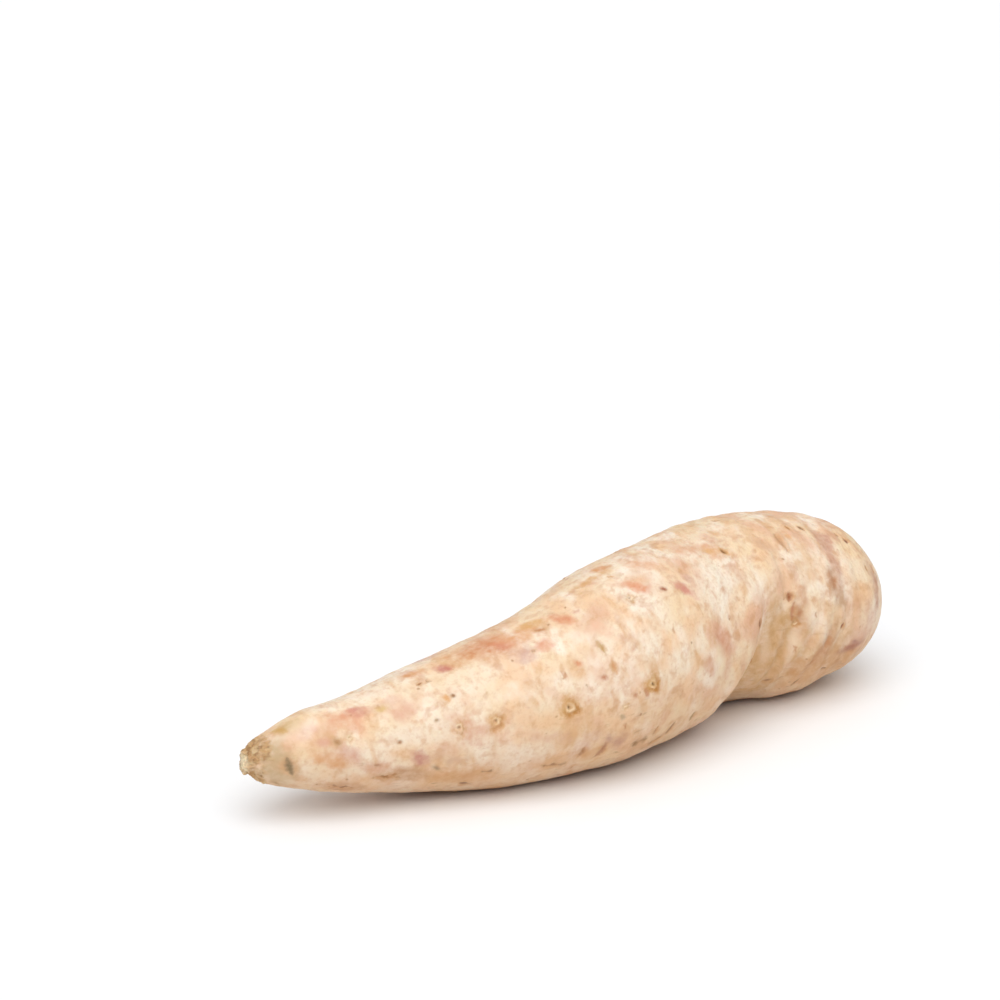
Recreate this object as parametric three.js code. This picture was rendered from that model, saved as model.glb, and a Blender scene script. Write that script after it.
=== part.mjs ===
// A white-skinned sweet potato: one storage root, lying on its side where it came to rest.
// Millimetres, +Z up. The root runs along X, from the cut stem end at -X to the blunt tail at +X,
// and the origin is on the ground under its middle.
import * as THREE from "three";

// Driving dimensions.
const LENGTH = 244; // from the cut stem end to the tail, along X
const THICKNESS = 64; // across the thickest part of the root
const PRESSED = 0.7; // how far the flesh gives where it bears on the ground
const PINCH_DEPTH = 4; // depth of the fold on one flank, between the two lobes

// Facets of the solid.
const AROUND = 48;
const ALONG = 92;

// The root at thirteen places, from the stem end to the tail. Along and side place its middle, as
// shares of the length; round and rise are half its thickness there and the height of its middle,
// as shares of half the thickness. A place with no rise bears on the ground.
const STATIONS = [
  { along: 0.0, side: 0.0, round: 0.115, rise: 0.63 }, // cut stem end
  { along: 0.035, side: -0.009, round: 0.285, rise: 0.635 }, // corky collar
  { along: 0.09, side: -0.021, round: 0.42, rise: 0.65 }, // neck
  { along: 0.165, side: -0.032, round: 0.54, rise: 0.66 },
  { along: 0.25, side: -0.046, round: 0.67, rise: 0.69 }, // shoulder
  { along: 0.34, side: -0.062, round: 0.78 }, // belly
  { along: 0.44, side: -0.07, round: 0.895 }, // front lobe
  { along: 0.53, side: -0.056, round: 0.98, rise: 0.98 },
  { along: 0.64, side: -0.021, round: 0.99, rise: 1.005 },
  { along: 0.75, side: 0.008, round: 1.0, rise: 1.015 }, // waist
  { along: 0.85, side: 0.012, round: 0.975 }, // rear lobe
  { along: 0.935, side: -0.001, round: 0.79, rise: 0.935 },
  { along: 1.0, side: -0.007, round: 0.0, rise: 0.955 }, // tail
];

// Where the fold crosses the flank: its place and half width as shares of the stations' run, and
// how far round the root it is centred, counted from the far flank.
const PINCH_AT = 0.755;
const PINCH_SPAN = 0.04;
const PINCH_TURN = Math.PI * 1.15;

const halfThickness = THICKNESS / 2;

// The middle of the root at a station.
function middleOf({ along, side, round, rise }) {
  const height = rise === undefined ? round * halfThickness - PRESSED : rise * halfThickness;
  return new THREE.Vector3(along * LENGTH, side * LENGTH, height);
}

// Half the thickness at a station, squared, so that the root closes round at the tail.
function girthOf({ along, round }) {
  return new THREE.Vector3(along, (round * halfThickness) ** 2, 0);
}

const spine = new THREE.CatmullRomCurve3(STATIONS.map(middleOf), false, "catmullrom");
const girth = new THREE.CatmullRomCurve3(STATIONS.map(girthOf), false, "catmullrom");

// How deep the fold is at a place on the skin.
function pinchAt(share, turn) {
  const across = Math.exp(-(((share - PINCH_AT) / PINCH_SPAN) ** 2));
  const around = Math.max(Math.cos(turn - PINCH_TURN), 0) ** 2;
  return PINCH_DEPTH * across * around;
}

// A point of the skin: share goes from 0 at the stem end to 1 at the tail, and turn round the root.
// At the two ends the skin closes on the middle, which leaves the flat cut at the stem end.
function skinPoint(share, turn) {
  const middle = spine.getPoint(share);
  if (share === 0 || share === 1) return middle;
  const tangent = spine.getTangent(share);
  const sideways = new THREE.Vector3(0, 0, 1).cross(tangent).normalize();
  const upright = new THREE.Vector3().crossVectors(tangent, sideways);
  const radius = Math.sqrt(Math.max(girth.getPoint(share).y, 0)) - pinchAt(share, turn);
  return middle
    .addScaledVector(sideways, radius * Math.cos(turn))
    .addScaledVector(upright, radius * Math.sin(turn));
}

// A unit sphere with its poles on X gives the facets: each of its points moves to its own place on
// the skin, and what would be below the ground is pressed flat.
function rootGeometry() {
  const geometry = new THREE.SphereGeometry(1, AROUND, ALONG).rotateZ(Math.PI / 2);
  const position = geometry.getAttribute("position");
  for (let i = 0; i < position.count; i++) {
    const share = THREE.MathUtils.clamp((1 + position.getX(i)) / 2, 0, 1);
    const turn = Math.atan2(position.getZ(i), position.getY(i));
    const point = skinPoint(share, turn);
    position.setXYZ(i, point.x, point.y, Math.max(point.z, 0));
  }
  geometry.computeBoundingBox();
  const centre = geometry.boundingBox.getCenter(new THREE.Vector3());
  geometry.translate(-centre.x, -centre.y, 0);
  geometry.computeVertexNormals();
  return geometry;
}

const skin = new THREE.MeshStandardMaterial({ color: 0xecd3b0, roughness: 0.55, metalness: 0 });

const sweetPotato = new THREE.Group();
const root = new THREE.Mesh(rootGeometry(), skin);
root.name = "storage_root";
sweetPotato.add(root);

export default sweetPotato;
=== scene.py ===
# A white-skinned sweet potato: one storage root, lying on its side where it came to rest.
# Blender works in metres in the part's own frame, +X from the cut stem end to the tail, +Z up.
# Sizes on the root itself are given in millimetres.
import math

import bpy
import numpy as np
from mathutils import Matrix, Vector, noise
from mathutils.bvhtree import BVHTree


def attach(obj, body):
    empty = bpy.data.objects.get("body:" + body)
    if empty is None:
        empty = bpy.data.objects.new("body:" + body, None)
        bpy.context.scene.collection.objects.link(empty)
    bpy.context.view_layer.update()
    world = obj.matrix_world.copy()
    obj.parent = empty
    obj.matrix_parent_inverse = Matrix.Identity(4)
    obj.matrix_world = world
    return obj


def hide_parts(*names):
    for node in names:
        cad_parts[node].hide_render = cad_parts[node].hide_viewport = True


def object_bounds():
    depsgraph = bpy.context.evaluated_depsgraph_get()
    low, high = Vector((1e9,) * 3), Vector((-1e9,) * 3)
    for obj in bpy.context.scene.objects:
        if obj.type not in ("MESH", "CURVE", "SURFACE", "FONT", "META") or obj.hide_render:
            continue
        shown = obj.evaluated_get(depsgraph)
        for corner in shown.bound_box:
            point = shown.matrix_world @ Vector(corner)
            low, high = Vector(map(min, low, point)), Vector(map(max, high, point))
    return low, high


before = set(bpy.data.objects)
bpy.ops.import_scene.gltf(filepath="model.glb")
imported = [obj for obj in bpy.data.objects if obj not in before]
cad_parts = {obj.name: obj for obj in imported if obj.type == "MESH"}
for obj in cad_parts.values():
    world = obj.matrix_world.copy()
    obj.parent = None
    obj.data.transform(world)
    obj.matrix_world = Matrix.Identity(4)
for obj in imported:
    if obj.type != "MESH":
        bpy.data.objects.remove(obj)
cad_low, cad_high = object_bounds()
cad_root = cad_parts["storage_root"]

# ---------------------------------------------------------------------------------------------
# The table it lies on, and the light. A plain matt white sheet, wide enough to run out of every
# view, under a broad soft light from overhead and a little to the front and left.

GROUND_REACH = 30.0  # metres
SUN_HEIGHT = 61  # degrees above the ground
SUN_SPREAD = 66  # degrees across: a very large soft box
SUN_STRENGTH = 1.70
SKY_LOW = 0.19  # how bright the room is at the height of the table
SKY_LOW_TINT = "e0a878"  # and warm there
SKY_WARM_TO = 0.40  # up to this share of the way overhead
SKY_HIGH = 0.86  # and overhead


def colour(hex_code, alpha=1.0):
    """An sRGB colour such as "e8c9a8" as Blender's linear red, green, blue and alpha."""
    shares = [int(hex_code[i:i + 2], 16) / 255 for i in (0, 2, 4)]
    return [s / 12.92 if s <= 0.04045 else ((s + 0.055) / 1.055) ** 2.4 for s in shares] + [alpha]


def add(tree, kind, settings=None, inputs=None):
    """Adds a node. An input is a plain value, or the output of another node that is linked to it."""
    made = tree.nodes.new(kind)
    for name, value in (settings or {}).items():
        setattr(made, name, value)
    for name, value in (inputs or {}).items():
        if isinstance(value, bpy.types.NodeSocket):
            tree.links.new(value, made.inputs[name])
        else:
            made.inputs[name].default_value = value
    return made


bpy.ops.object.select_all(action="DESELECT")
bpy.ops.mesh.primitive_plane_add(size=GROUND_REACH)
ground = bpy.context.object
ground.name = "ground"

# Matt white laminate: bright, with only a trace of sheen.
laminate = bpy.data.materials.new("matt_white_laminate")
laminate.use_nodes = True
laminate_shader = laminate.node_tree.nodes["Principled BSDF"]
laminate_shader.inputs["Base Color"].default_value = colour("f9fbfd")
laminate_shader.inputs["Roughness"].default_value = 0.7
laminate_shader.inputs["Specular IOR Level"].default_value = 0.2
ground.data.materials.append(laminate)

# A white room all round: the camera sees it as pure white, and it fills the shadows.
room = bpy.data.worlds.new("white_room")
room.use_nodes = True
bpy.context.scene.world = room
room_tree = room.node_tree
room_tree.nodes.clear()
heading = add(room_tree, "ShaderNodeTexCoord")
height = add(room_tree, "ShaderNodeSeparateXYZ", None, {0: heading.outputs["Generated"]})
brightness = add(room_tree, "ShaderNodeMapRange", None, {
    "Value": height.outputs["Z"], "To Min": SKY_LOW, "To Max": SKY_HIGH})
warmth = add(room_tree, "ShaderNodeMapRange", {"interpolation_type": "SMOOTHSTEP"}, {
    "Value": height.outputs["Z"], "From Max": SKY_WARM_TO})
tint = add(room_tree, "ShaderNodeMix", {"data_type": "RGBA"}, {
    0: warmth.outputs[0], 6: colour(SKY_LOW_TINT), 7: colour("ffffff")})
fill = add(room_tree, "ShaderNodeBackground", None, {
    "Color": tint.outputs[2], "Strength": brightness.outputs[0]})
white = add(room_tree, "ShaderNodeBackground", None, {"Color": colour("ffffff"), "Strength": 1.0})
ray = add(room_tree, "ShaderNodeLightPath")
seen = add(room_tree, "ShaderNodeMixShader", None, {0: ray.outputs["Is Camera Ray"]})
room_tree.links.new(fill.outputs[0], seen.inputs[1])
room_tree.links.new(white.outputs[0], seen.inputs[2])
add(room_tree, "ShaderNodeOutputWorld", None, {"Surface": seen.outputs[0]})

soft_box = bpy.data.lights.new("soft_box", "SUN")
soft_box.energy = SUN_STRENGTH
soft_box.angle = math.radians(SUN_SPREAD)
soft_box_holder = bpy.data.objects.new("soft_box", soft_box)
bpy.context.collection.objects.link(soft_box_holder)
from_light = Vector((-0.5, -0.75, 0.0)).normalized() * math.cos(math.radians(SUN_HEIGHT))
from_light.z = math.sin(math.radians(SUN_HEIGHT))
soft_box_holder.rotation_euler = from_light.to_track_quat("Z", "Y").to_euler()

# ---------------------------------------------------------------------------------------------
# The camera, in front of the root on the stem side and looking down at it.

CAMERA_TURN = -33.9  # degrees round from straight in front, towards the stem end
CAMERA_RISE = 22  # degrees above level
CAMERA_REACH = 1.008  # metres from the middle of the root
CAMERA_LENS = 110  # millimetres, on a 36 mm frame
AIM_LEFT = 0.0284  # metres from the middle of the root to the middle of the view
AIM_UP = 0.0499

middle = (cad_low + cad_high) / 2
turn = math.radians(CAMERA_TURN)
rise = math.radians(CAMERA_RISE)
back = Vector((math.sin(turn) * math.cos(rise), -math.cos(turn) * math.cos(rise), math.sin(rise)))
right = Vector((math.cos(turn), math.sin(turn), 0))
aim = middle - right * AIM_LEFT + back.cross(right) * AIM_UP
lens = bpy.data.cameras.new("camera")
lens.lens = CAMERA_LENS
lens.sensor_width = 36
camera = bpy.data.objects.new("camera", lens)
bpy.context.collection.objects.link(camera)
camera.location = middle + back * CAMERA_REACH
camera.rotation_euler = (camera.location - aim).to_track_quat("Z", "Y").to_euler()
bpy.context.scene.camera = camera
bpy.context.scene.view_settings.view_transform = "Standard"
bpy.context.scene.view_settings.look = "None"

# ---------------------------------------------------------------------------------------------
# The root itself: one piece of flesh in a thin pale skin, swollen into two lobes as it grew.
# The solid's facets are rounded off, then the skin is worked like clay: broad lumps, the rings
# that the swelling root leaves across it, the fold between the lobes, and the rough stem end.

MM = 0.001
ROUNDING = 2  # times that each facet is halved and smoothed

bpy.ops.object.select_all(action="DESELECT")
root = bpy.data.objects.new("storage_root_skin", cad_root.data.copy())
bpy.context.collection.objects.link(root)
root.data.name = "storage_root_skin"
root.data.materials.clear()
root.select_set(True)
bpy.context.view_layer.objects.active = root
bpy.ops.object.mode_set(mode="EDIT")
bpy.ops.mesh.select_all(action="SELECT")
bpy.ops.mesh.remove_doubles(threshold=0.00001)
bpy.ops.mesh.tris_convert_to_quads(face_threshold=math.radians(60), shape_threshold=math.radians(60))
bpy.ops.object.mode_set(mode="OBJECT")
rounding = root.modifiers.new("rounding", "SUBSURF")
rounding.levels = ROUNDING
rounding.render_levels = ROUNDING
bpy.ops.object.modifier_apply(modifier="rounding")


def corners_of(mesh):
    """The mesh's vertices, in millimetres, one row each."""
    rows = np.empty(len(mesh.vertices) * 3)
    mesh.vertices.foreach_get("co", rows)
    return rows.reshape(-1, 3) / MM


def normals_of(mesh):
    rows = np.empty(len(mesh.vertices) * 3)
    mesh.vertices.foreach_get("normal", rows)
    return rows.reshape(-1, 3)


# The middle line of the root, from slices across it every four millimetres.
corners = corners_of(root.data)
SLICE = 4.0
slice_at = np.arange(corners[:, 0].min() + SLICE / 2, corners[:, 0].max() - SLICE / 2, SLICE)
slice_middle = []
for x in slice_at:
    near = corners[abs(corners[:, 0] - x) < SLICE / 2]
    slice_middle.append((near[:, 1:].min(axis=0) + near[:, 1:].max(axis=0)) / 2)
slice_middle = np.array(slice_middle)


def middle_at(x):
    """The middle of the root, across and up, where it is cut square at x."""
    across = np.interp(x, slice_at, slice_middle[:, 0])
    up = np.interp(x, slice_at, slice_middle[:, 1])
    return np.stack([across, up], axis=-1)


skin_tree = BVHTree.FromPolygons(
    [Vector(c) for c in corners], [tuple(p.vertices) for p in root.data.polygons])


def spot_at(x, turn_degrees):
    """A place on the skin: x along the root, and the turn round it, where 0 is the far flank, 90
    the top and 180 the near flank. With it come the way out, the way along and the way round."""
    across, up = middle_at(x)
    way = Vector((0, math.cos(math.radians(turn_degrees)), math.sin(math.radians(turn_degrees))))
    place, out, _, _ = skin_tree.ray_cast(Vector((x, across, up)), way)
    if out.dot(way) < 0:
        out = -out
    along = Vector((1, 0, 0))
    along = (along - out * along.dot(out)).normalized()
    return np.array(place), np.array(out), np.array(along), np.array(along.cross(out))


# What marks a root: small root scars, slits and cracks where the skin split as it swelled, blushes
# of pigment, and corky spots. Each row is x, turn, length, width, slant and then its own values.
# Slant 0 lies along the root, and 90 round it. The rows are gathered here because the skin gets
# finer facets round every small mark.
ROOT_SCARS = [
    # x, turn, length, width, how brown its halo is
    (-64, 160, 6.5, 5.5, 0.35),
    (-53, 161, 6.5, 6.0, 0.55),
    (-30, 167, 8.0, 7.0, 0.80),
    (0, 173, 7.0, 6.5, 1.00),
    (-11, 179, 4.0, 4.0, 0.25),
    (-96, 146, 4.0, 3.4, 0.20),
    (2, 117, 6.5, 4.0, 0.35),
    (71, 175, 4.5, 3.0, 0.45),
]
SLITS = [
    # x, turn, length, width, slant, colour, depth
    (-112.8, 178, 7.6, 2.3, 80, "85745a", 0.45),
    (-15, 137, 7.0, 1.9, 75, "bd9a66", 0.35),
    (-18, 209, 9.5, 2.2, -70, "a9765a", 0.25),
    (-25, 206, 6.0, 2.0, -75, "a87850", 0.22),
    (3, 206, 5.0, 1.5, -75, "a87850", 0.20),
    (11, 211, 8.0, 2.0, -77, "9a6c42", 0.28),
    (21, 208, 6.0, 1.8, -80, "a08258", 0.20),
    (53, 168, 5.4, 1.5, 85, "8e5436", 0.50),
    (91, 182, 3.0, 1.3, -50, "93563c", 0.35),
    (76, 221, 5.0, 1.2, -55, "7f5a40", 0.35),
    (87, 215, 4.5, 1.0, 20, "8f6544", 0.30),
    (81, 110, 3.4, 1.6, 75, "b07a3e", 0.35),
    (87, 110, 4.2, 1.7, 60, "8a5a2c", 0.40),
    (74, 122, 10.5, 1.8, 85, "c09a80", 0.45),
    (69, 158, 4.4, 2.2, 90, "9c5a33", 0.45),
    (71, 168, 9.0, 1.4, 95, "c08a6e", 0.30),
    (49, 116, 3.4, 1.6, 60, "6e4a2c", 0.50),
    (60, 84, 3.0, 1.3, 40, "a07048", 0.30),
    (101, 115, 2.4, 1.6, 45, "7c4a34", 0.40),
    (103, 121, 3.2, 1.6, 84, "7a4436", 0.40),
    (-13, 153, 6.0, 1.3, 80, "d3a27c", 0.25),
    (-35, 119, 2.2, 0.9, 85, "9c7266", 0.25),
]
CRACKS = [
    # x, turn, length, width, slant, colour, depth
    (-86, 203, 10.5, 0.8, -10, "a87a4c", 0.30),
    (-98, 222, 8.0, 0.9, 4, "8a5c38", 0.30),
    (-84, 205, 7.0, 0.7, 4, "a87c50", 0.20),
    (-33, 214, 11.0, 1.2, 4, "94693f", 0.30),
    (-55, 207, 4.5, 0.8, -10, "8a6a48", 0.30),
    (-3, 211, 8.0, 2.6, -4, "8a6230", 0.35),
    (5, 219, 11.5, 1.4, -25, "a57445", 0.25),
    (-67, 109, 2.8, 0.6, 56, "8c5d34", 0.30),
    (-70, 109, 2.4, 0.5, -10, "9c6d40", 0.25),
    (-60, 225, 5.0, 1.1, 15, "734431", 0.40),
    (45, 217, 8.0, 0.8, -35, "9a7450", 0.30),
    (62, 219, 9.0, 0.8, -30, "9a7450", 0.30),
]
SPOTS = [
    # x, turn, length, width, slant, colour
    (-100, 149, 2.8, 2.0, 40, "b08a64"),
    (-82, 163, 1.6, 1.3, 0, "a06c40"),
    (-70, 149, 1.3, 1.1, 0, "a08462"),
    (-63, 132, 2.2, 1.5, 40, "8d5f2e"),
    (-65, 132, 3.4, 2.4, 50, "d9a468"),
    (-71, 197, 3.2, 1.6, 30, "a48c74"),
    (-89, 186, 2.4, 1.2, 10, "b98c70"),
    (106, 145, 2.6, 1.2, 75, "b98250"),
    (110, 147, 2.4, 1.6, 80, "bf8a68"),
    (112, 150, 3.2, 1.6, 85, "77402f"),
    (15, 123, 2.8, 1.6, 20, "9c5434"),
    (-17, 156, 2.6, 2.0, 40, "b8714e"),
    (-24, 140, 2.8, 2.2, 30, "d59470"),
    (-7, 175, 2.0, 1.7, 30, "c08668"),
    (-3, 176, 3.4, 1.8, 75, "b87e6c"),
    (49, 116, 5.5, 3.4, 50, "d6a468"),
    (44, 112, 7.0, 3.6, 25, "dcb083"),
    (2, 95, 3.0, 1.4, 30, "cf9a62"),
    (-29, 104, 4.2, 1.6, 20, "b67a45"),
    (-12, 186, 2.4, 1.8, 60, "b8a48c"),
    (89, 152, 4.6, 3.4, 80, "bd8a68"),
    (84, 191, 9.0, 2.6, -60, "c39069"),
    (79, 203, 7.0, 2.4, -65, "bf8c62"),
    (97, 201, 9.5, 2.6, -6, "ab7560"),
    (78, 118, 4.0, 3.0, 60, "dcb088"),
    (98, 197, 3.0, 1.8, 20, "b58a80"),
    (-112, 98, 5.5, 2.4, 60, "c8a468"),
    (-84, 122, 5.0, 3.2, 20, "d9bf90"),
]
BLUSHES = [
    # x, turn, length, width, slant, colour, strength
    (86, 196, 36, 20, -70, "cda47a", 0.45),
    (79, 134, 20, 13, 70, "e0ba92", 0.60),
    (-116, 150, 12, 8, 90, "c6aa82", 0.75),
    (-115, 200, 12, 7, 90, "c4a57d", 0.75),
    (-112, 178, 8, 4, 80, "c29d72", 0.60),
    (-110, 98, 9, 5, 40, "c4a369", 0.70),
    (-21, 104, 10, 4.2, 45, "d68c66", 1.0),
    (7, 113, 9, 4.6, 35, "db9068", 1.0),
    (-102, 150, 10, 7, 20, "d8a878", 0.8),
    (-107, 125, 8, 5, 20, "e2b7a4", 0.5),
    (-104, 146, 5, 3, 10, "d79c8b", 0.7),
    (-91, 117, 9, 4, 14, "cc8876", 1.0),
    (-96, 124, 12, 8, 40, "dea27e", 0.9),
    (-80, 126, 12, 8, 30, "dba68c", 0.75),
    (-97, 167, 8, 6, 20, "cf9884", 0.85),
    (-103, 172, 14, 5, 15, "d69c6c", 0.85),
    (-76, 183, 7, 5, 35, "c28475", 0.95),
    (-88, 190, 12, 5, 10, "d19a78", 0.75),
    (-61, 101, 6, 4, 40, "c4786a", 1.0),
    (-69, 93, 9, 4, 20, "d1915b", 0.75),
    (-56, 103, 7, 3, 30, "d19760", 0.75),
    (-48, 96, 20, 12, 25, "cf8a58", 1.0),
    (-44, 97, 15, 8, 25, "c8784a", 0.6),
    (-41, 101, 7, 5, 20, "cf8068", 1.0),
    (-38, 118, 8, 7, 20, "d0a594", 0.7),
    (-31, 118, 6, 5, 20, "dd9e7d", 0.75),
    (-36, 99, 16, 8, 20, "dba070", 0.9),
    (-30, 95, 10, 4, 15, "d7a364", 0.8),
    (-16, 104, 3, 2, 20, "c9876b", 0.6),
    (-2, 88, 16, 4, 0, "d8a66e", 0.7),
    (3, 82, 8, 4, 10, "d49462", 0.85),
    (-12, 128, 12, 6, 50, "eabea0", 0.5),
    (23, 128, 11, 3.8, 45, "d08c7a", 1.0),
    (27, 122, 5, 3, 80, "c89884", 0.7),
    (16, 101, 14, 6, 30, "e4ae87", 0.6),
    (40, 106, 22, 9, 20, "dca781", 0.7),
    (-30, 210, 26, 6, -6, "cf9c6c", 0.6),
    (-62, 210, 30, 8, 0, "cd9a6a", 0.75),
    (8, 216, 26, 6, -12, "cf9e70", 0.6),
    (80, 208, 30, 12, -12, "c8935e", 0.85),
    (96, 212, 18, 10, 0, "c08a58", 0.7),
    (66, 200, 14, 8, -60, "cba06c", 0.6),
    (84, 192, 15, 4.6, -62, "bd8658", 1.0),
    (79, 204, 10, 4, -65, "bd8658", 0.9),
    (98, 200, 12, 4, -6, "a8705a", 0.9),
    (-80, 203, 15, 6, -4, "bb8a60", 0.9),
    (-98, 221, 14, 6, 0, "bb8862", 0.9),
    (-60, 165, 20, 9, 20, "d9a688", 0.7),
    (-67, 186, 12, 5, 10, "d1a88b", 0.5),
    (-36, 185, 18, 5, 10, "d7aa8e", 0.55),
    (-24, 199, 14, 6, -50, "cfa18b", 0.6),
    (-15, 200, 6, 4, -50, "b98878", 0.8),
    (-12, 205, 9, 4, -60, "c09077", 0.7),
    (6, 196, 12, 5, -60, "d5a380", 0.65),
    (33, 166, 14, 7, 70, "cf9474", 0.9),
    (25, 176, 9, 5, 60, "d49f80", 0.7),
    (35, 182, 9, 5, -80, "d19d7b", 0.65),
    (42, 188, 10, 5, -80, "cf9e7b", 0.6),
    (93, 121, 10, 6, 80, "c08c78", 1.0),
    (92, 134, 16, 5, 88, "c4937a", 0.95),
    (89, 154, 11, 6, 85, "b8845e", 0.95),
    (91, 164, 7, 5, 85, "bd9878", 0.7),
    (98, 120, 9, 4, 85, "d4a382", 0.7),
    (63, 166, 11, 7, 80, "d8ad80", 0.7),
    (74, 163, 12, 4.5, 95, "cd9775", 0.7),
    (72, 172, 11, 3.6, 88, "ad6a48", 1.0),
    (66, 124, 14, 6, 60, "dab18e", 0.55),
    (104, 180, 14, 6, 85, "d4a387", 0.6),
    (109, 160, 16, 5, 88, "bd8a70", 0.85),
    (100, 195, 12, 6, 0, "d4a58b", 0.65),
]
PALE_PATCHES = [
    # x, turn, length, width, slant, colour, strength
    (31, 175, 11, 4.5, 75, "f0dcbc", 0.85),
    (-72, 120, 16, 9, 20, "f8e6cc", 0.30),
    (-50, 140, 18, 10, 20, "f9ead6", 0.36),
    (-22, 124, 16, 9, 50, "faecda", 0.38),
    (-20, 145, 10, 7, 50, "f9ead8", 0.32),
    (-3, 134, 16, 6, 70, "f9ebd9", 0.34),
    (-108, 112, 12, 5, 10, "fbe9d4", 0.32),
    (20, 142, 10, 5, 70, "fae8d0", 0.27),
    # These two are painted highlights: pale bands along the wrinkle ridges behind the fold.
    (59, 190, 13, 3.5, -80, "f2dfc8", 0.30),
    (70, 190, 14, 3.5, -75, "f4e3cf", 0.55),
    (77, 168, 14, 5, 88, "f3dfc6", 0.27),
]

# The underside and the far flank have marks of the same kinds, strewn at random.
HIDDEN_TURNS = (246, 424)
strewn = np.random.default_rng(5)


def strew(count, spreads, *colours):
    """Rows of x and turn on the hidden side, then a value from each spread, and one of the colours."""
    rows = []
    for _ in range(count):
        row = [strewn.uniform(-106, 106), strewn.uniform(*HIDDEN_TURNS) % 360]
        row += [strewn.uniform(*spread) for spread in spreads]
        if colours:
            row.insert(5, colours[strewn.integers(len(colours))])
        rows.append(tuple(row))
    return rows


ROOT_SCARS += strew(9, [(4.5, 7), (4, 6), (0.3, 1)])
SLITS += strew(18, [(3, 7), (1.2, 1.8), (70, 100), (0.3, 0.5)], "9a6c52", "8f6544", "a07a50", "8e5436")
CRACKS += strew(14, [(4, 10), (0.7, 1.2), (-20, 20), (0.25, 0.45)], "8c7556", "7d5836", "96683f")
SPOTS += strew(30, [(1.6, 3.4), (1.2, 2.2), (0, 90)], "a06c40", "b98c70", "77402f", "b98250", "c08668")
BLUSHES += strew(46, [(6, 18), (4, 9), (20, 110), (0.5, 0.85)],
                 "d09c86", "d8a884", "c98d72", "d6a36c", "c9a07e", "ddb08e", "c99a90")
PALE_PATCHES += strew(12, [(8, 18), (5, 10), (0, 90), (0.3, 0.5)], "f8e6cc", "f5e2c6")

# Finer facets round the small marks.
FINER_REACH = 3.3  # millimetres from the middle of a mark
small_marks = [row[:2] for row in ROOT_SCARS + SLITS + CRACKS + SPOTS]
faces = root.data.polygons
face_middles = np.empty(len(faces) * 3)
faces.foreach_get("center", face_middles)
face_middles = face_middles.reshape(-1, 3) / MM
finer = np.zeros(len(faces), dtype=bool)
for x, turn_degrees in small_marks:
    place = spot_at(x, turn_degrees)[0]
    finer |= np.linalg.norm(face_middles - place, axis=1) < FINER_REACH
bpy.ops.object.mode_set(mode="EDIT")
bpy.ops.mesh.select_mode(type="FACE")
bpy.ops.mesh.select_all(action="DESELECT")
bpy.ops.object.mode_set(mode="OBJECT")
faces = root.data.polygons
faces.foreach_set("select", finer)
bpy.ops.object.mode_set(mode="EDIT")
bpy.ops.mesh.subdivide(number_cuts=1, smoothness=0)
bpy.ops.mesh.select_all(action="DESELECT")
bpy.ops.object.mode_set(mode="OBJECT")

corners = corners_of(root.data)
outward = normals_of(root.data)
from_middle = corners[:, 1:] - middle_at(corners[:, 0])
turn_of = np.degrees(np.arctan2(from_middle[:, 1], from_middle[:, 0])) % 360
steps = np.diff(np.column_stack([slice_at, slice_middle]), axis=0)
run = np.concatenate([[0], np.cumsum(np.linalg.norm(steps, axis=1))])
run_of = np.interp(corners[:, 0], slice_at, run) + (corners[:, 0] - np.clip(
    corners[:, 0], slice_at[0], slice_at[-1]))

# The root as if it had grown straight: run along it, then across and up from its middle line. The
# skin's patterns follow it, and so bend with the root.
grown = np.column_stack([run_of, from_middle])
from_axis = np.linalg.norm(from_middle, axis=1)


def fade(value, low, high):
    """Goes smoothly from 0 at low to 1 at high."""
    share = np.clip((value - low) / (high - low), 0, 1)
    return share * share * (3 - 2 * share)


def rough(size, stretch=(1, 1, 1), seed=0, layers=3):
    """Smooth random lumps about size millimetres across, from -1 to 1, on the straight root."""
    points = grown / (np.array(stretch) * size) + seed * 17.3
    return np.array([noise.fractal(Vector(p), 1.0, 2.0, layers) for p in points])


raised = np.zeros(len(corners))  # how far the skin moves out, in millimetres
shifted = np.zeros((len(corners), 3))  # and how far it is drawn along or round

# Broad lumps, and the softer rings across the root. The rings are deepest about the waist.
body = fade(corners[:, 0], -116, -90)
ringed = 0.25 + 0.75 * fade(corners[:, 0], 20, 50) * (1 - fade(corners[:, 0], 100, 118))
raised += 0.8 * body * rough(34, seed=1, layers=2)
raised += 0.22 * body * rough(11, seed=2, layers=2)
raised += 0.42 * ringed * body * rough(5.0, stretch=(1, 6, 6), seed=3, layers=2)
raised += 0.10 * rough(2.6, seed=4, layers=2)

# The shoulder swells a little just above the neck.
SHOULDER_X = -105
SHOULDER_TURN = 100
SHOULDER_SWELL = 1.4
shoulder_top = np.maximum(np.cos(np.radians(turn_of - SHOULDER_TURN)), 0) ** 2
raised += SHOULDER_SWELL * np.exp(-((corners[:, 0] - SHOULDER_X) / 8) ** 2) * shoulder_top

# The fold on the near flank, where the front lobe rolls over the rear one. It runs up the flank
# from under the belly and dies out, and the front lobe hangs over it.
FOLD_LINE = [  # x and turn, from under the belly upwards
    (48, 240), (48, 215), (50, 203), (53, 193), (56, 182), (58, 170), (60, 158)]
FOLD_DEPTH = 6.5
FOLD_LIP = 11  # how far the front lobe takes to round over into the fold
FOLD_BACK = 24  # and how far the rear lobe takes to rise out of it
FOLD_ROLL = 1.8
PINCH_X = 63  # the solid's own shallow pinch, which the fold takes the place of
PINCH_TURN = 207
PINCH_REACH = 11.7
PINCH_FILL = 3.9
pinch = np.exp(-((corners[:, 0] - PINCH_X) / PINCH_REACH) ** 2)
raised += PINCH_FILL * pinch * np.maximum(np.cos(np.radians(turn_of - PINCH_TURN)), 0) ** 2
fold_x = np.interp(turn_of, [t for _, t in FOLD_LINE[::-1]], [x for x, _ in FOLD_LINE[::-1]])
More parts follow.
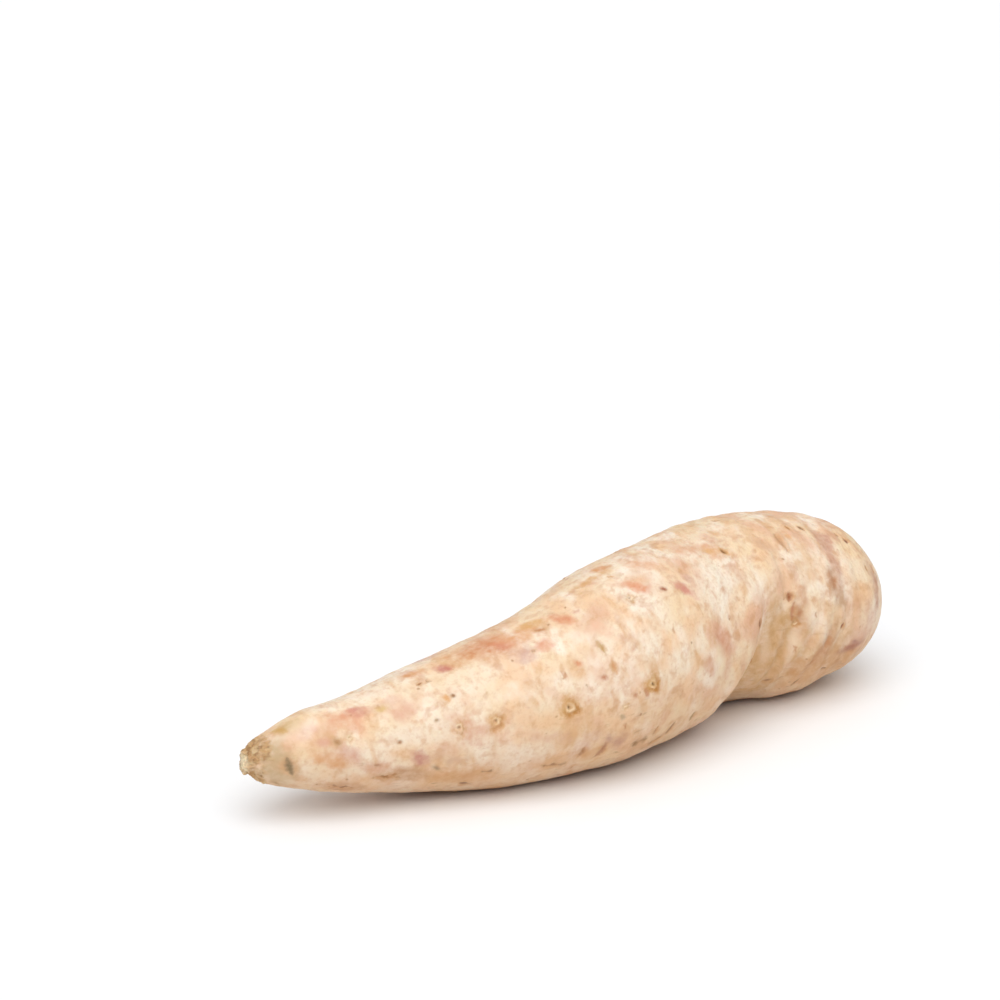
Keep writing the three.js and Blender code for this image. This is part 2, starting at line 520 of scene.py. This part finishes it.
fold_there = fade(turn_of, 142, 180) * (1 - fade(turn_of, 236, 262))
past_fold = corners[:, 0] - fold_x
sunk = np.where(past_fold < 0, fade(past_fold, -FOLD_LIP, 0), 1 - fade(past_fold, 0, FOLD_BACK))
raised -= FOLD_DEPTH * fold_there * sunk
raised += 0.4 * fold_there * np.exp(-((past_fold + 13) / 5) ** 2)
# Under the belly the lobe's edge is drawn in.
belly_side = fade(turn_of, 196, 218) * (1 - fade(turn_of, 236, 256))
raised -= 1.5 * belly_side * np.exp(-((past_fold + 7) / 6) ** 2)
shifted[:, 0] += FOLD_ROLL * fold_there * np.exp(-((past_fold + 5) / 3) ** 2)

# Lesser wrinkles beside the fold, running the same way.
WRINKLES = [
    # distance past the fold, depth, half width, lowest and highest turn
    (14, 0.9, 2.2, 165, 228),
    (22, 0.9, 2.2, 160, 228),
    (30, 0.7, 2.2, 160, 222),
    (37, 0.5, 2.0, 155, 220),
    (8, 0.5, 1.6, 120, 165),
]
for at, depth, half_width, lowest, highest in WRINKLES:
    there = fade(turn_of, lowest, lowest + 18) * (1 - fade(turn_of, highest - 12, highest + 12))
    wander = 1.6 * rough(16, seed=40 + at, layers=1)
    off = (past_fold - at + wander) / half_width
    raised -= depth * there * np.exp(-off ** 2)
    raised += 0.5 * depth * there * np.exp(-(off + 2.2) ** 2)

# ---------------------------------------------------------------------------------------------
# Marks on the skin. A root scar is the healed stump of a fine side root: a shallow dish with a
# raised corky ring and a pit. Slits and cracks are where the skin split and healed over in cork.

BARE = colour("cfa37a", 0.0)  # no paint: what there is of it at an edge is brown, not black
MARK_WARMTH = (1.00, 0.92, 0.76)  # pulls the colours of the marks towards brown
PAINT = {  # a colour at each vertex, and how strong it is
    "stain": np.tile(BARE, (len(corners), 1)),  # soft blushes of pigment
    "mark": np.tile(BARE, (len(corners), 1)),  # small crisp marks
}


def near_spot(x, turn_degrees, slant, reach):
    """The vertices near a place, and how far along and across the slant each one lies."""
    place, out, along, round_way = spot_at(x, turn_degrees)
    lean = math.radians(slant)
    long_way = along * math.cos(lean) + round_way * math.sin(lean)
    cross_way = round_way * math.cos(lean) - along * math.sin(lean)
    offset = corners - place
    which = np.nonzero(np.linalg.norm(offset, axis=1) < reach)[0]
    offset = offset[which]
    return which, offset @ long_way, offset @ cross_way


def paint(layer, which, hex_code, strength):
    """Lays a colour over a layer, with a strength for each vertex."""
    rows = PAINT[layer]
    old = rows[which]
    strength = np.clip(strength, 0, 1)[:, None]
    cover = strength + old[:, 3:] * (1 - strength)
    new = np.array(colour(hex_code)[:3])
    if layer == "mark":
        new = new * MARK_WARMTH
    mixed = (new * strength + old[:, :3] * old[:, 3:] * (1 - strength)) / np.maximum(cover, 1e-6)
    mixed = np.where(cover > 0.001, mixed, old[:, :3])
    rows[which] = np.hstack([mixed, cover])


def oval(long_share, cross_share):
    """Distance from the middle of an oval, where 1 is its edge."""
    return np.hypot(long_share, cross_share)


def add_blush(layer, x, turn_degrees, length, width, slant, hex_code, strength):
    which, a, b = near_spot(x, turn_degrees, slant, length)
    paint(layer, which, hex_code, strength * (1 - fade(oval(a / length * 2, b / width * 2), 0.2, 1.6)))


def add_spot(x, turn_degrees, length, width, slant, hex_code):
    which, a, b = near_spot(x, turn_degrees, slant, length * 1.8)
    far = oval(a / length * 2, b / width * 2)
    paint("stain", which, hex_code, 0.35 * (1 - fade(far, 0.4, 2.2)))
    paint("mark", which, hex_code, 0.75 * (1 - fade(far, 0.0, 1.5)))
    raised[which] -= 0.08 * (1 - fade(far, 0.3, 1.3))


def add_slit(x, turn_degrees, length, width, slant, hex_code, depth):
    """A split healed over: pointed at both ends, with lips that stand a little proud."""
    which, a, b = near_spot(x, turn_degrees, slant, length)
    share = np.clip(1 - (a / length * 2) ** 2, 0, 1)
    open_here = np.maximum(width / 2 * share, 0.05)
    bow = 0.10 * length * share * math.sin(x * 1.7)
    far = abs(b - bow) / open_here
    groove = share ** 0.5 * np.exp(-far ** 2)
    lips = share * np.exp(-((far - 1.9) / 0.8) ** 2)
    raised[which] += 0.35 * depth * lips - depth * groove
    paint("stain", which, "cf9e6e", 0.6 * share * (1 - fade(far, 1.0, 3.8)))
    paint("mark", which, hex_code, 0.80 * groove)


def add_crack(x, turn_degrees, length, width, slant, hex_code, depth):
    """A thin split that wanders, with ragged brown cork along it."""
    which, a, b = near_spot(x, turn_degrees, slant, length)
    wander = 0.30 * np.sin(a * 1.3 + x) + 0.15 * np.sin(a * 2.9 + turn_degrees)
    share = np.clip(1 - (a / length * 2) ** 2, 0, 1)
    uneven = 0.6 + 0.4 * np.sin(a * 1.7 + x * 0.7)
    far = abs(b - wander) / (width * (0.35 + 0.45 * uneven))
    groove = share ** 0.5 * np.exp(-far ** 2)
    raised[which] -= depth * groove
    raised[which] += 0.3 * depth * share * np.exp(-((far - 2.2) / 0.8) ** 2)
    paint("stain", which, "cb9c70", 0.6 * share * (1 - fade(far, 1.2, 4.5)))
    paint("mark", which, hex_code, 0.75 * groove * (0.4 + 0.6 * uneven))


def add_scar(x, turn_degrees, length, width, brownness):
    """A shallow dish with a low pale ring round a dark pit, brownest on its lower side."""
    which, a, b = near_spot(x, turn_degrees, 80, length * 1.6)
    heading = np.arctan2(b, a)
    uneven = 0.09 * np.sin(heading * 3 + x) + 0.07 * np.sin(heading * 5 + x * 2)
    ring = oval(a / length * 2, b / width * 2) * (1 + 0.9 * uneven + 0.12 * np.cos(heading - x))
    far = ring * (1 + 0.6 * uneven)
    raised[which] -= 0.45 * np.exp(-(far / 0.75) ** 2)
    raised[which] += 0.20 * np.exp(-((ring - 0.36) / 0.13) ** 2)
    raised[which] -= 0.50 * np.exp(-(ring / 0.18) ** 2)
    raised[which] += 0.12 * np.exp(-((far - 1.15) / 0.25) ** 2)
    lower = 0.5 + 0.5 * np.cos(heading + 0.6)
    paint("mark", which, "c9984f", (0.16 + 0.46 * brownness) * (1 - fade(far, 0.4, 1.6)))
    paint("mark", which, "b5772f", 0.60 * brownness * lower * np.exp(-((far - 0.66) / 0.26) ** 2))
    pale = 0.4 + 0.25 * np.sin(heading + x)
    paint("mark", which, "fff4e2", pale * np.exp(-((ring - 0.32) / 0.10) ** 2))
    paint("mark", which, "9c6c34", (0.1 + 0.3 * brownness) * lower * np.exp(-((far - 0.55) / 0.10) ** 2))
    paint("mark", which, "5f4329", (0.4 + 0.4 * brownness) * (1 - fade(ring, 0.03, 0.20)))


for row in BLUSHES:
    add_blush("stain", *row)
# Painted shade inside the fold: the skin there is darkened to olive tan.
fold_shade = fade(past_fold, -1.5, 3) * (1 - fade(past_fold, 9, 26)) * fade(turn_of, 152, 182)
fold_shade *= 1 - fade(turn_of, 228, 250)
paint("stain", np.arange(len(corners)), "c4965e", 0.85 * fold_shade)
for row in PALE_PATCHES:
    add_blush("stain", *row)
for row in SPOTS:
    add_spot(*row)
for row in ROOT_SCARS:
    add_scar(*row)
for row in SLITS:
    add_slit(*row)
for row in CRACKS:
    add_crack(*row)

# The tail: the scar where the thin end of the root broke off, brown and puckered.
tail_x = corners[:, 0].max()
tail_near = np.hypot(from_axis, (tail_x - corners[:, 0]) * 1.6)
tail_turn = np.radians(turn_of)
raised += 1.3 * np.exp(-(tail_near / 2.4) ** 2) - 0.9 * np.exp(-((tail_near - 4.6) / 1.8) ** 2)
raised += 0.35 * np.cos(tail_turn * 7) * np.exp(-((tail_near - 6.5) / 3.0) ** 2)
paint("stain", np.arange(len(corners)), "b5834f", 0.85 * (1 - fade(tail_near, 2.5, 9.0)))
paint("mark", np.arange(len(corners)), "7d5430", 0.75 * (1 - fade(tail_near, 1.2, 3.4)))

# The cut stem end: a pale fibrous disc where the stem was cut, in a ragged collar of rough cork
# that thins out over the neck.
COLLAR_END = -116.6
STUB_REACH = 3.8  # how far the stump stands out past the solid's rounded end
STUB_TAPER = 0.30  # how much its end is drawn in, as a share of its thickness
STUB_LIFT = 0.6
STUB_WAIST = 0.05  # how much the neck draws in behind the stump, as a share of its thickness
stem_x = corners[:, 0].min()
shifted[:, 0] -= STUB_REACH * fade(-corners[:, 0], 106, 121)
raised -= STUB_WAIST * from_axis * np.exp(-((corners[:, 0] + 116.5) / 4.5) ** 2)
raised -= STUB_TAPER * from_axis * fade(-corners[:, 0], 116.5, 121.8)
shifted[:, 2] += STUB_LIFT * fade(-corners[:, 0], 114, 121)
collar_edge = COLLAR_END + 2.4 * rough(5, seed=8) + 1.3 * np.cos(np.radians(2 * turn_of - 190))
cork = 1 - fade(corners[:, 0], collar_edge - 3.5, collar_edge + 3.5)
raised += cork * (0.60 * rough(3.0, seed=9, layers=3) + 0.40 * rough(1.4, seed=10, layers=2))
rim = np.exp(-((from_axis - 3.9) / 0.8) ** 2) * (1 - fade(corners[:, 0], stem_x + 1.0, stem_x + 4.0))
cut_face = (1 - fade(corners[:, 0], stem_x + 0.6, stem_x + 2.4)) * (1 - fade(from_axis, 2.8, 4.4))
raised += 0.5 * rim * (1 + 2 * rough(2.2, seed=11))
shifted[:, 0] += 0.9 * cut_face * rough(2.5, seed=12)

corners_now = corners + outward * raised[:, None] + shifted
# It bears on the ground and never passes through it.
corners_now[:, 2] = np.maximum(corners_now[:, 2], 0)
root.data.vertices.foreach_set("co", (corners_now * MM).ravel())
root.data.update()

for name, rows in PAINT.items():
    layer = root.data.attributes.new(name, "FLOAT_COLOR", "POINT")
    layer.data.foreach_set("color", rows.ravel())
layer = root.data.attributes.new("grown", "FLOAT_VECTOR", "POINT")
layer.data.foreach_set("vector", grown.ravel())
layer = root.data.attributes.new("cork", "FLOAT", "POINT")
layer.data.foreach_set("value", cork)
layer = root.data.attributes.new("cut_face", "FLOAT", "POINT")
layer.data.foreach_set("value", cut_face)
# Darker brown the more the skin faces down: partly the underside's browner skin, partly painted shade.
under = fade(-outward[:, 2], -0.5, 0.9)
# Painted shade where it rests on the ground: the faces that look down and lie nearest the ground are
# painted dark brown.
contact_shade = fade(-outward[:, 2], 0.82, 0.98) * (1 - fade(corners_now[:, 2], 1.5, 5))
layer = root.data.attributes.new("under", "FLOAT", "POINT")
layer.data.foreach_set("value", under)
layer = root.data.attributes.new("contact_shade", "FLOAT", "POINT")
layer.data.foreach_set("value", contact_shade)

bpy.ops.object.select_all(action="DESELECT")
root.select_set(True)
bpy.context.view_layer.objects.active = root
bpy.ops.object.shade_smooth()

# ---------------------------------------------------------------------------------------------
# Sweet potato skin: a thin corky layer over starchy flesh, washed and dried. It is cream, clouded
# with straw and pink, flecked with brown pores, and satin where the light grazes it.

skin = bpy.data.materials.new("washed_sweet_potato_skin")
skin.use_nodes = True
tree = skin.node_tree
tree.nodes.clear()
on_root = add(tree, "ShaderNodeAttribute", {"attribute_name": "grown"}).outputs["Vector"]
stain = add(tree, "ShaderNodeAttribute", {"attribute_name": "stain"})
mark = add(tree, "ShaderNodeAttribute", {"attribute_name": "mark"})
cork_cover = add(tree, "ShaderNodeAttribute", {"attribute_name": "cork"}).outputs["Fac"]
cut_cover = add(tree, "ShaderNodeAttribute", {"attribute_name": "cut_face"}).outputs["Fac"]
under_cover = add(tree, "ShaderNodeAttribute", {"attribute_name": "under"}).outputs["Fac"]
contact_shade_cover = add(tree, "ShaderNodeAttribute", {"attribute_name": "contact_shade"}).outputs["Fac"]


def cloud(size, low, high, stretch=(1, 1, 1), seed=0.0, detail=3.0, warp=0.0, crumble=0.5):
    """A random pattern of patches about size millimetres across: 0 below low, 1 above high."""
    scaled = add(tree, "ShaderNodeVectorMath", {"operation": "DIVIDE"}, {0: on_root, 1: stretch})
    pattern = add(tree, "ShaderNodeTexNoise", {"noise_dimensions": "4D"}, {
        "Vector": scaled.outputs[0], "W": seed, "Scale": 1 / size, "Detail": detail, "Distortion": warp,
        "Roughness": crumble})
    ranged = add(tree, "ShaderNodeMapRange", {"interpolation_type": "SMOOTHSTEP"}, {
        "Value": pattern.outputs[0], "From Min": low, "From Max": high})
    return ranged.outputs[0]


def combine(operation, first, second):
    return add(tree, "ShaderNodeMath", {"operation": operation}, {0: first, 1: second}).outputs[0]


def broken(cover, size, seed, low, high, weight):
    """A painted cover with its edge broken up by grain about size millimetres across."""
    grain = cloud(size, 0.25, 0.75, seed=seed, detail=4)
    shaken = add(tree, "ShaderNodeMath", {"operation": "MULTIPLY_ADD"}, {0: grain, 1: weight, 2: cover})
    ranged = add(tree, "ShaderNodeMapRange", {"interpolation_type": "SMOOTHSTEP"}, {
        "Value": shaken.outputs[0], "From Min": low + weight / 2, "From Max": high + weight / 2})
    painted = add(tree, "ShaderNodeMath", {"operation": "MULTIPLY", "use_clamp": True}, {0: cover, 1: 4.0})
    return combine("MULTIPLY", ranged.outputs[0], painted.outputs[0])


def flecks(size, spacing, chance, seed, stretch=(1, 1, 1), wander=0.5):
    """Ragged flecks, size and spacing in millimetres. Only some cells, by chance, have one."""
    stray = add(tree, "ShaderNodeTexNoise", {"noise_dimensions": "4D"}, {
        "Vector": on_root, "W": seed, "Scale": 0.8 / size, "Detail": 3.0})
    centred = add(tree, "ShaderNodeVectorMath", {"operation": "SUBTRACT"}, {
        0: stray.outputs["Color"], 1: (0.5, 0.5, 0.5)})
    moved = add(tree, "ShaderNodeVectorMath", {"operation": "MULTIPLY_ADD"}, {
        0: centred.outputs[0], 1: (wander * size * 4,) * 3, 2: on_root})
    scaled = add(tree, "ShaderNodeVectorMath", {"operation": "DIVIDE"}, {0: moved.outputs[0], 1: stretch})
    cells = add(tree, "ShaderNodeTexVoronoi", {"voronoi_dimensions": "4D"}, {
        "Vector": scaled.outputs[0], "W": seed, "Scale": 1 / spacing})
    near = add(tree, "ShaderNodeMapRange", {"interpolation_type": "SMOOTHSTEP"}, {
        "Value": cells.outputs["Distance"],
        "From Min": 0.75 * size / spacing, "From Max": 0.25 * size / spacing})
    picked = add(tree, "ShaderNodeSeparateColor", {}, {0: cells.outputs["Color"]})
    here = add(tree, "ShaderNodeMapRange", {}, {
        "Value": picked.outputs[0], "From Min": 1 - chance, "From Max": 1 - chance * 0.6})
    return combine("MULTIPLY", near.outputs[0], here.outputs[0])


pores = flecks(0.95, 4.2, 0.70, 61, wander=0.3)
long_flecks = flecks(1.5, 6.2, 0.65, 62, stretch=(1, 1.8, 1.8), wander=0.6)
smudges = flecks(3.4, 13, 0.6, 63, stretch=(1, 1.5, 1.5), wander=0.9)

# Fine lengthwise checks in the skin of the underside, brown with cork.
checks = combine("MULTIPLY", cloud(1.1, 0.60, 0.72, stretch=(7, 1, 1), seed=21, warp=0.4), under_cover)
checks = combine("MULTIPLY", checks, cloud(12, 0.42, 0.62, seed=22))

stain_cover = broken(stain.outputs["Alpha"], 4.2, 31, -0.1, 1.05, 0.80)
mottle = add(tree, "ShaderNodeMapRange", {}, {
    "Value": cloud(2.6, 0.32, 0.66, seed=35, detail=4), "To Min": 0.62, "To Max": 1.0})
stain_cover = combine("MULTIPLY", stain_cover, mottle.outputs[0])
mark_cover = broken(mark.outputs["Alpha"], 0.9, 32, 0.0, 0.95, 0.30)
cork_edge = broken(cork_cover, 1.6, 33, 0.15, 0.90, 0.50)

# From the ground colour up: each layer is how far it covers, and its colour.
LAYERS = [
    (cloud(28, 0.38, 0.62, seed=1, warp=0.3), colour("ebcb9c"), 0.65),
    (cloud(12, 0.42, 0.66, seed=2, warp=0.4, detail=3), colour("ecc298"), 0.75),
    (cloud(16, 0.48, 0.68, seed=3, warp=0.4, detail=3), colour("deac8e"), 0.65),
    (cloud(10, 0.48, 0.70, stretch=(1, 1.5, 1.5), seed=4, warp=0.3, detail=3), colour("faeedc"), 0.80),
    (cloud(6, 0.50, 0.74, stretch=(1, 1.8, 1.8), seed=5, warp=0.5, detail=4), colour("d6a470"), 0.65),
    (cloud(6, 0.54, 0.74, seed=8, warp=0.5, detail=4), colour("cd9975"), 0.60),
    (cloud(3.0, 0.50, 0.72, seed=9, warp=0.2, detail=4), colour("cc9666"), 0.42),
    (cloud(1.6, 0.50, 0.74, seed=6, detail=4), colour("cf9f72"), 0.28),
    (cloud(0.8, 0.50, 0.78, seed=7, detail=2), colour("c99a6c"), 0.22),
    # the underside: partly browner skin, partly painted shade
    (under_cover, colour("c79564"), 0.45),
    # painted shade where the root touches the ground
    (contact_shade_cover, colour("a56a34"), 0.85),
    (checks, colour("85592f"), 0.70),
    (smudges, colour("c9946a"), 0.45),
    (stain_cover, stain.outputs["Color"], 0.95),
    (long_flecks, colour("b87a48"), 0.65),
    (pores, colour("a46c3c"), 0.62),
    (mark_cover, mark.outputs["Color"], 0.95),
    (cork_edge, colour("c79c6a"), 0.85),
    (combine("MULTIPLY", cork_edge, cloud(1.5, 0.44, 0.70, seed=41, detail=5)), colour("8a6238"), 0.75),
    (combine("MULTIPLY", cork_edge, cloud(2.2, 0.48, 0.70, seed=42, detail=4)), colour("e4cca2"), 0.70),
    (combine("MULTIPLY", cut_cover, cloud(4.0, 0.12, 0.46, seed=43)), colour("f6e4c0"), 0.90),
]
skin_colour = colour("f4e4ce")
for cover, tint, strength in LAYERS:
    share = combine("MULTIPLY", cover, strength)
    blend = add(tree, "ShaderNodeMix", {"data_type": "RGBA"}, {0: share, 6: skin_colour, 7: tint})
    skin_colour = blend.outputs[2]

# The grain of the skin: fine papery wrinkles across the root, pimples, and a sunk spot at each
# pore. Heights are in millimetres, and Blender's bump distance is in metres.
papery = cloud(1.3, 0.3, 0.7, stretch=(1, 3, 3), seed=51, detail=4)
pimples = cloud(3.5, 0.3, 0.7, seed=52, detail=3)
height = combine("MULTIPLY", papery, 0.07)
height = combine("ADD", height, combine("MULTIPLY", pimples, 0.16))
height = combine("SUBTRACT", height, combine("MULTIPLY", pores, 0.04))
height = combine("SUBTRACT", height, combine("MULTIPLY", checks, 0.15))
height = combine("SUBTRACT", height, combine("MULTIPLY", mark_cover, 0.10))
cork_grain = combine("MULTIPLY", cork_edge, cloud(0.9, 0.3, 0.7, seed=53, detail=5))
height = combine("ADD", height, combine("MULTIPLY", cork_grain, 0.45))
bump = add(tree, "ShaderNodeBump", {}, {"Height": height, "Distance": MM, "Strength": 0.8})

gloss = cloud(6, 0.3, 0.7, seed=54)
roughness = add(tree, "ShaderNodeMapRange", {}, {"Value": gloss, "To Min": 0.42, "To Max": 0.60})
roughness = combine("MAXIMUM", roughness.outputs[0], combine("MULTIPLY", cork_edge, 0.85))
shader = add(tree, "ShaderNodeBsdfPrincipled", {}, {
    "Base Color": skin_colour, "Roughness": roughness, "IOR": 1.45, "Normal": bump.outputs[0],
    "Specular IOR Level": 0.45, "Subsurface Weight": 0.12, "Subsurface Radius": (1.0, 0.45, 0.2),
    "Subsurface Scale": 1.5 * MM})
add(tree, "ShaderNodeOutputMaterial", {}, {"Surface": shader.outputs[0]})
root.data.materials.append(skin)

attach(root, "root")
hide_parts("storage_root")
